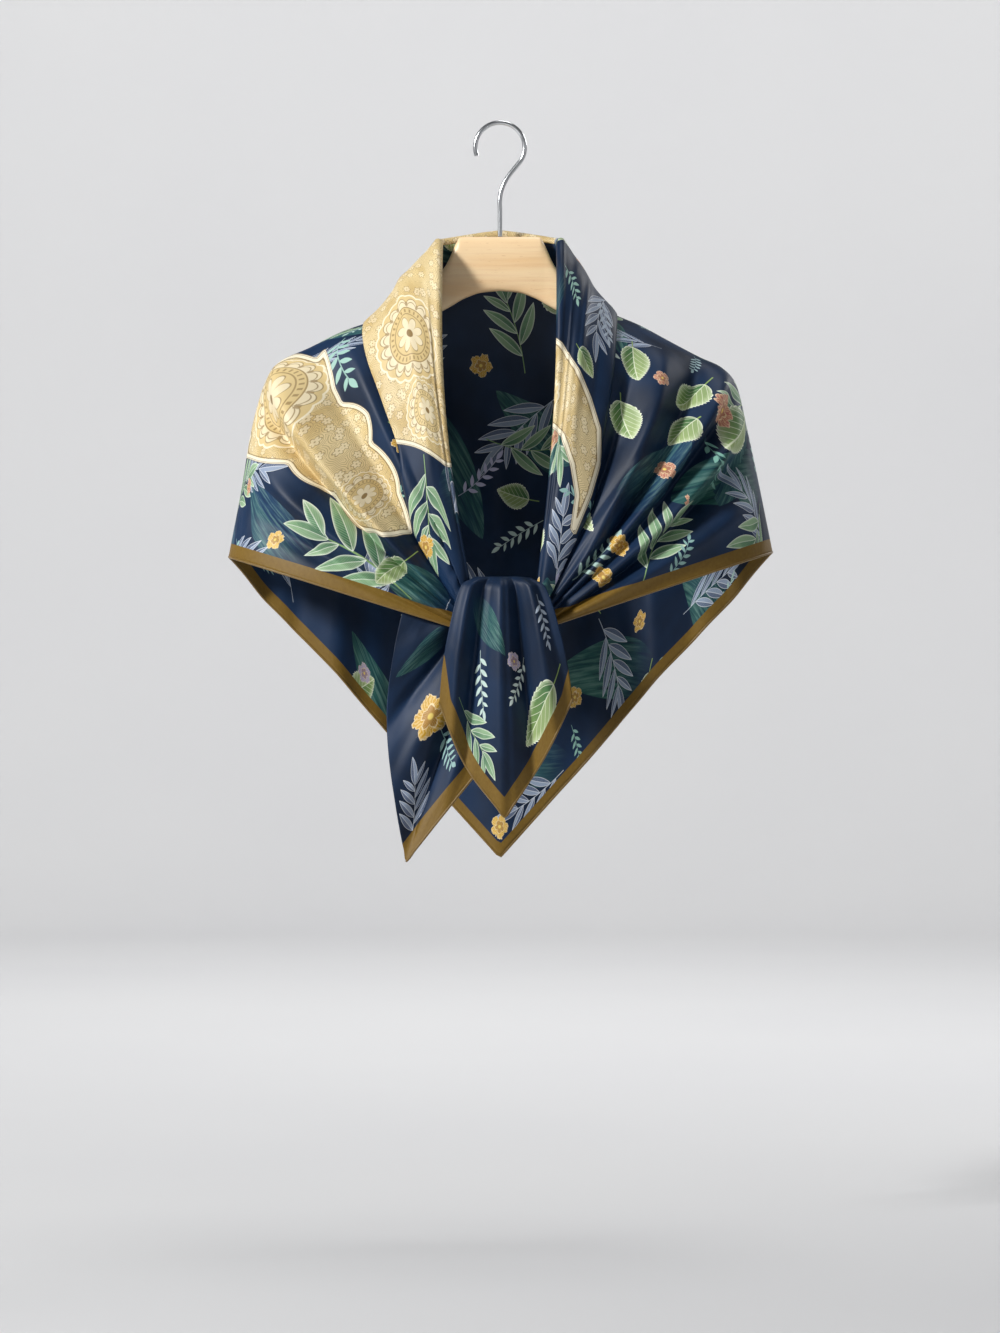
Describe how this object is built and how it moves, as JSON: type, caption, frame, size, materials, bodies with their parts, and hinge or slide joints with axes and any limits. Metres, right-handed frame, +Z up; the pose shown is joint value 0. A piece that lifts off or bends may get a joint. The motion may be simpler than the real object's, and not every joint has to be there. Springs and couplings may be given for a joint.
{
  "type": "silk square scarf on a clothes hanger",
  "caption": "Silk square scarf folded corner to corner, worn as a shawl on a wooden hanger: turned-back collar, draped shoulders, and its two ends tied in front and hanging free",
  "frame": {"origin": "the inside top of the hanger's hook, where a rail carries it", "axes": "+Z up; the front with the tied ends faces -Y; +X is to the right as seen from the front"},
  "size_m": [0.4626, 0.1653, 0.6287],
  "materials": {
    "silk_navy": "printed silk twill, navy ground",
    "silk_gold": "printed silk twill, gold ground",
    "wood": "clear lacquered pale wood",
    "steel": "plated steel wire"
  },
  "bodies": {
    "root": {"hanger_body": "wood", "hanger_hook": "steel", "back_drape": "silk_navy", "front_left": "silk_gold", "front_right": "silk_navy", "collar_back": "silk_gold", "collar_left": "silk_gold", "collar_right": "silk_navy", "tie": "silk_navy", "tail_front": "silk_navy", "tail_side": "silk_navy"}
  },
  "joints": []
}
